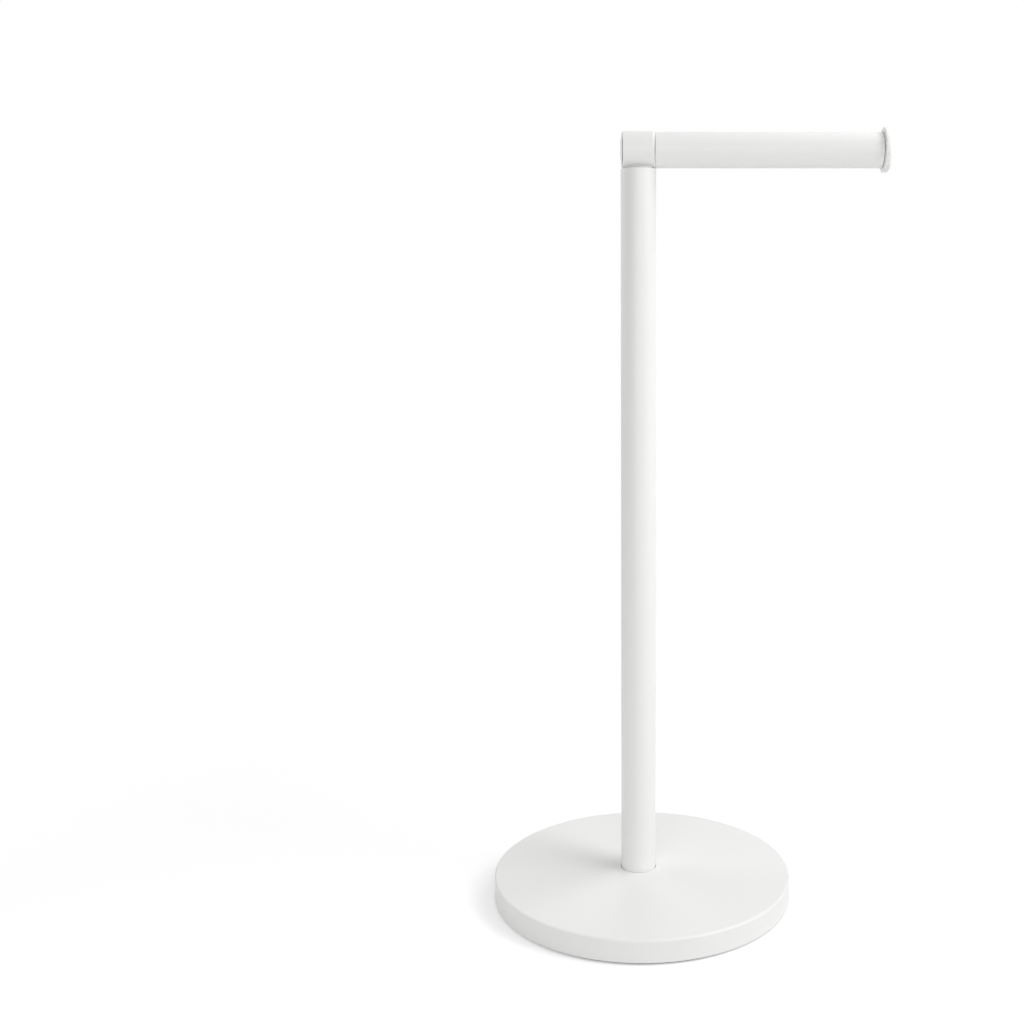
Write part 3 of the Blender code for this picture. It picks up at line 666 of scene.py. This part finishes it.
class HOLDER_OT_head(bpy.types.Operator):
    """Head across the post's top, bored for its screw and planed flat below"""

    bl_idname = "holder.head"
    bl_label = "Head"

    def execute(self, context):
        head = context.scene.holder_head
        front = HEAD_HIGH.x - POST_X
        back = HEAD_LOW.x - POST_X
        outline = Outline(head.bore, front).line(head.radius - head.bevel_depth, front)
        outline.line(head.radius, front - head.bevel_length).line(head.radius, back + head.edge)
        outline.turn(head.radius - head.edge, back + head.edge, CORNER, SMALLEST_STEPS)
        outline.line(head.socket, back).line(head.socket, back + head.socket_depth)
        outline.line(head.pocket, back + head.socket_depth).line(head.pocket, head.pocket_end)
        outline.line(head.bore, head.pocket_end)
        shape = outline.spun_ring(context.scene.holder_tubes.steps)
        lay_along_arm(shape, POST_X)
        plane_underside(shape, HEAD_LOW.z + head.boss_step, head.flat_edge)
        self.add_boss(context, shape, head)
        coat = ready("powder_coat", powder_coat, context.scene.holder_finish)
        add_piece("head", shape, coat, "arm", "head_body")
        return {"FINISHED"}

    def add_boss(self, context, shape, head):
        """Add the round boss that stands on the post and runs up into the head."""
        made = bmesh.ops.create_cone(
            shape, cap_ends=True, segments=context.scene.holder_tubes.steps,
            radius1=head.boss, radius2=head.boss, depth=head.boss_height,
        )
        middle = (POST_X, POST_Y, HEAD_LOW.z + head.boss_height / 2)
        bmesh.ops.translate(shape, verts=made["verts"], vec=middle)


class HOLDER_OT_head_cap(bpy.types.Operator):
    """Domed cap over the head's outer end"""

    bl_idname = "holder.head_cap"
    bl_label = "Head Cap"

    def execute(self, context):
        head = context.scene.holder_head
        spigot_end = CAP_HIGH.x - CAP_LOW.x - head.cap_rim - head.cap_rise
        outline = dome(head.radius, head.cap_rim, head.cap_rise).line(head.radius, 0)
        outline.line(head.spigot, 0).line(head.spigot, -spigot_end).line(0, -spigot_end)
        shape = outline.spun(context.scene.holder_tubes.steps)
        lay_along_arm(shape, CAP_LOW.x + head.cap_rise + head.cap_rim, backwards=True)
        plane_underside(shape, CAP_LOW.z, head.cap_edge)
        coat = ready("powder_coat", powder_coat, context.scene.holder_finish)
        add_piece("head_cap", shape, coat, "arm", "head_end_cap")
        return {"FINISHED"}


class HOLDER_OT_arm(bpy.types.Operator):
    """Level tube that carries the roll"""

    bl_idname = "holder.arm"
    bl_label = "Arm"

    def execute(self, context):
        tubes = context.scene.holder_tubes
        outer = tubes.arm_radius
        bore = outer - tubes.wall
        edge = tubes.cut_edge
        end = ARM_HIGH.x - ARM_LOW.x
        outline = Outline(outer - edge, end)
        outline.turn(outer - edge, end - edge, CORNER, SMALLEST_STEPS).line(outer, edge)
        outline.turn(outer - edge, edge, CORNER, SMALLEST_STEPS).line(bore, 0).line(bore, end)
        shape = outline.spun_ring(tubes.steps)
        lay_along_arm(shape, ARM_LOW.x)
        coat = ready("powder_coat", powder_coat, context.scene.holder_finish)
        add_piece("arm", shape, coat, "arm", "arm_tube")
        return {"FINISHED"}


class HOLDER_OT_flange(bpy.types.Operator):
    """Domed flange that keeps the roll on the arm"""

    bl_idname = "holder.flange"
    bl_label = "End Flange"

    def execute(self, context):
        flange = context.scene.holder_flange
        shoulder = flange.radius - flange.outer_edge
        inner = flange.radius - flange.inner_edge
        outline = dome(shoulder, flange.rim + flange.outer_edge, flange.rise)
        outline.turn(shoulder, flange.rim, CORNER).line(flange.radius, flange.inner_edge)
        outline.turn(inner, flange.inner_edge, CORNER)
        outline.line(flange.bore, 0).line(flange.bore, flange.bore_depth).line(0, flange.bore_depth)
        shape = outline.spun(context.scene.holder_tubes.steps)
        lay_along_arm(shape, FLANGE_LOW.x)
        coat = ready("powder_coat", powder_coat, context.scene.holder_finish)
        add_piece("flange", shape, coat, "arm", "end_flange")
        return {"FINISHED"}


class HOLDER_OT_inner_parts(bpy.types.Operator):
    """Finishes of the weight, screws, washers, plugs and bush inside"""

    bl_idname = "holder.inner_parts"
    bl_label = "Inner Parts"

    def execute(self, context):
        finish = context.scene.holder_finish
        zinc = turned_metal("zinc_plate", finish.zinc, "zinc", False)
        zinc_across = turned_metal("zinc_plate_across", finish.zinc, "zinc", True)
        steel = turned_metal("turned_steel", finish.steel, "steel", False)
        steel_across = turned_metal("turned_steel_across", finish.steel, "steel", True)
        spring = turned_metal("spring_steel", finish.spring, "spring", False)
        finishes = {
            "ballast_disc": cast_iron(finish),
            "base_bolt": zinc, "base_flat_washer": zinc, "base_lock_washer": zinc,
            "swivel_screw": zinc, "swivel_flat_washer": zinc,
            "arm_screw": zinc_across, "arm_lock_washer": zinc_across, "flange_stud": zinc_across,
            "post_foot_insert": steel, "arm_root_plug": steel_across, "arm_end_plug": steel_across,
            "disc_spring_1": spring, "disc_spring_2": spring,
            "post_top_plug": ready("powder_coat", powder_coat, finish),
            "swivel_bush": moulded_nylon(finish),
        }
        for index in (1, 2, 3):
            finishes[f"cover_screw_{index}"] = zinc
            finishes[f"cover_weld_nut_{index}"] = steel
        for node, material in finishes.items():
            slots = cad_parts[node].data.materials
            slots.clear()
            slots.append(material)
        return {"FINISHED"}


class HOLDER_OT_stage(bpy.types.Operator):
    """Pale floor, soft lamps, white surroundings and the camera"""

    bl_idname = "holder.stage"
    bl_label = "Stage"

    def execute(self, context):
        stage = context.scene.holder_stage
        self.lay_floor(context, stage)
        self.hang_lamps(context)
        self.light_all_round(context, stage)
        self.place_camera(context, stage)
        context.scene.view_settings.view_transform = "Standard"
        return {"FINISHED"}

    def lay_floor(self, context, stage):
        """Floor that shades as pale paint, with white added where it is seen or reflected."""
        made = Finish(bpy.data.materials.new("pale_floor"))
        place = made.place()
        grain = made.noise(place, LUMPS["floor_grain"], 2)
        away = made.node("ShaderNodeVectorMath", {"operation": "LENGTH"}, {0: place}, "Value")
        fade = made.node(
            "ShaderNodeMapRange", {"interpolation_type": "SMOOTHSTEP"},
            {
                "Value": away, "From Min": stage.floor_reach / 2, "From Max": stage.floor_reach,
            },
            "Result",
        )
        seen = made.seen()
        glow = made.blend(seen, (0, 0, 0), shaded((1, 1, 1), stage.floor_glow))
        paint = made.node(
            "ShaderNodeBsdfPrincipled", None,
            {
                "Base Color": (*stage.floor, 1), "Roughness": stage.floor_roughness,
                "Specular IOR Level": 0.0, "Normal": made.bump(grain, RELIEF["floor"]),
                "Emission Color": glow, "Emission Strength": 1.0,
            },
        )
        white = made.node("ShaderNodeEmission", None, {"Color": (1, 1, 1, 1), "Strength": 1.0})
        front = made.node("ShaderNodeMixShader", None, {0: seen * fade, 1: paint, 2: white})
        clear = made.node("ShaderNodeBsdfTransparent")
        behind = made.node("ShaderNodeNewGeometry", output="Backfacing")
        made.node_out(made.node("ShaderNodeMixShader", None, {0: behind, 1: front, 2: clear}))
        shape = bmesh.new()
        bmesh.ops.create_grid(shape, x_segments=1, y_segments=1, size=stage.floor_size / 2)
        mesh = bpy.data.meshes.new("floor")
        shape.to_mesh(mesh)
        shape.free()
        mesh.materials.append(made.holder)
        floor = bpy.data.objects.new("floor", mesh)
        context.scene.collection.objects.link(floor)

    def hang_lamps(self, context):
        """Square soft lamps, each pointed at the middle of the stand."""
        for name, (heading, height, distance, side, power) in LAMPS.items():
            lamp = bpy.data.lights.new(name, "AREA")
            lamp.shape = "SQUARE"
            lamp.size = side
            lamp.energy = power
            holder = bpy.data.objects.new(name, lamp)
            turn = math.radians(heading)
            rise = math.radians(height)
            level = math.cos(rise)
            away = Vector((math.cos(turn) * level, math.sin(turn) * level, math.sin(rise)))
            holder.location = LAMP_TARGET + away * distance
            holder.rotation_euler = away.to_track_quat("Z", "Y").to_euler()
            holder.visible_camera = False
            context.scene.collection.objects.link(holder)

    def light_all_round(self, context, stage):
        """Surroundings that are plain white to look at and to reflect, and give an even light."""
        world = bpy.data.worlds.new("surroundings")
        context.scene.world = world
        made = Finish(world)
        seen = made.seen()
        strength = seen + (1 - seen) * stage.ambient
        made.node_out(made.node(
            "ShaderNodeBackground", None, {"Color": (1, 1, 1, 1), "Strength": strength}
        ))

    def place_camera(self, context, stage):
        """Camera at the photograph's place, with its lens shifted as the photograph is framed."""
        lens = bpy.data.cameras.new("camera")
        lens.lens = stage.lens
        lens.sensor_width = SENSOR_WIDTH
        lens.shift_x, lens.shift_y = stage.shift
        lens.clip_end = stage.floor_size * 2
        camera = bpy.data.objects.new("camera", lens)
        camera.location = stage.camera
        camera.rotation_euler = (math.radians(90) - stage.tilt, 0, 0)
        context.scene.collection.objects.link(camera)
        context.scene.camera = camera


OPERATORS = (
    HOLDER_OT_cover, HOLDER_OT_pad, HOLDER_OT_post, HOLDER_OT_head, HOLDER_OT_head_cap,
    HOLDER_OT_arm, HOLDER_OT_flange, HOLDER_OT_inner_parts, HOLDER_OT_stage,
)

# Property groups by the name that the scene holds them under
GROUPS = {
    "holder_base": HOLDER_PG_base,
    "holder_tubes": HOLDER_PG_tubes,
    "holder_head": HOLDER_PG_head,
    "holder_flange": HOLDER_PG_flange,
    "holder_finish": HOLDER_PG_finish,
    "holder_stage": HOLDER_PG_stage,
}


class HOLDER_PT_pieces(bpy.types.Panel):
    """Sizes and finishes, with a button for each piece"""

    bl_label = "Toilet Paper Holder"
    bl_idname = "HOLDER_PT_pieces"
    bl_space_type = "VIEW_3D"
    bl_region_type = "UI"
    bl_category = "Holder"

    def draw(self, context):
        for name, group in GROUPS.items():
            box = self.layout.box()
            box.label(text=group.__doc__.rstrip("."))
            for key in group.__annotations__:
                box.prop(getattr(context.scene, name), key)
        column = self.layout.column(align=True)
        for operator in OPERATORS:
            column.operator(operator.bl_idname)


CLASSES = (*GROUPS.values(), *OPERATORS, HOLDER_PT_pieces)


def register():
    for entry in CLASSES:
        bpy.utils.register_class(entry)
    for name, group in GROUPS.items():
        setattr(bpy.types.Scene, name, PointerProperty(type=group))


def unregister():
    for name in GROUPS:
        delattr(bpy.types.Scene, name)
    for entry in reversed(CLASSES):
        bpy.utils.unregister_class(entry)


def main():
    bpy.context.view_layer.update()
    register()
    bpy.ops.holder.cover()
    bpy.ops.holder.pad()
    bpy.ops.holder.post()
    bpy.ops.holder.head()
    bpy.ops.holder.head_cap()
    bpy.ops.holder.arm()
    bpy.ops.holder.flange()
    bpy.ops.holder.inner_parts()
    bpy.ops.holder.stage()


if __name__ == "__main__":
    main()
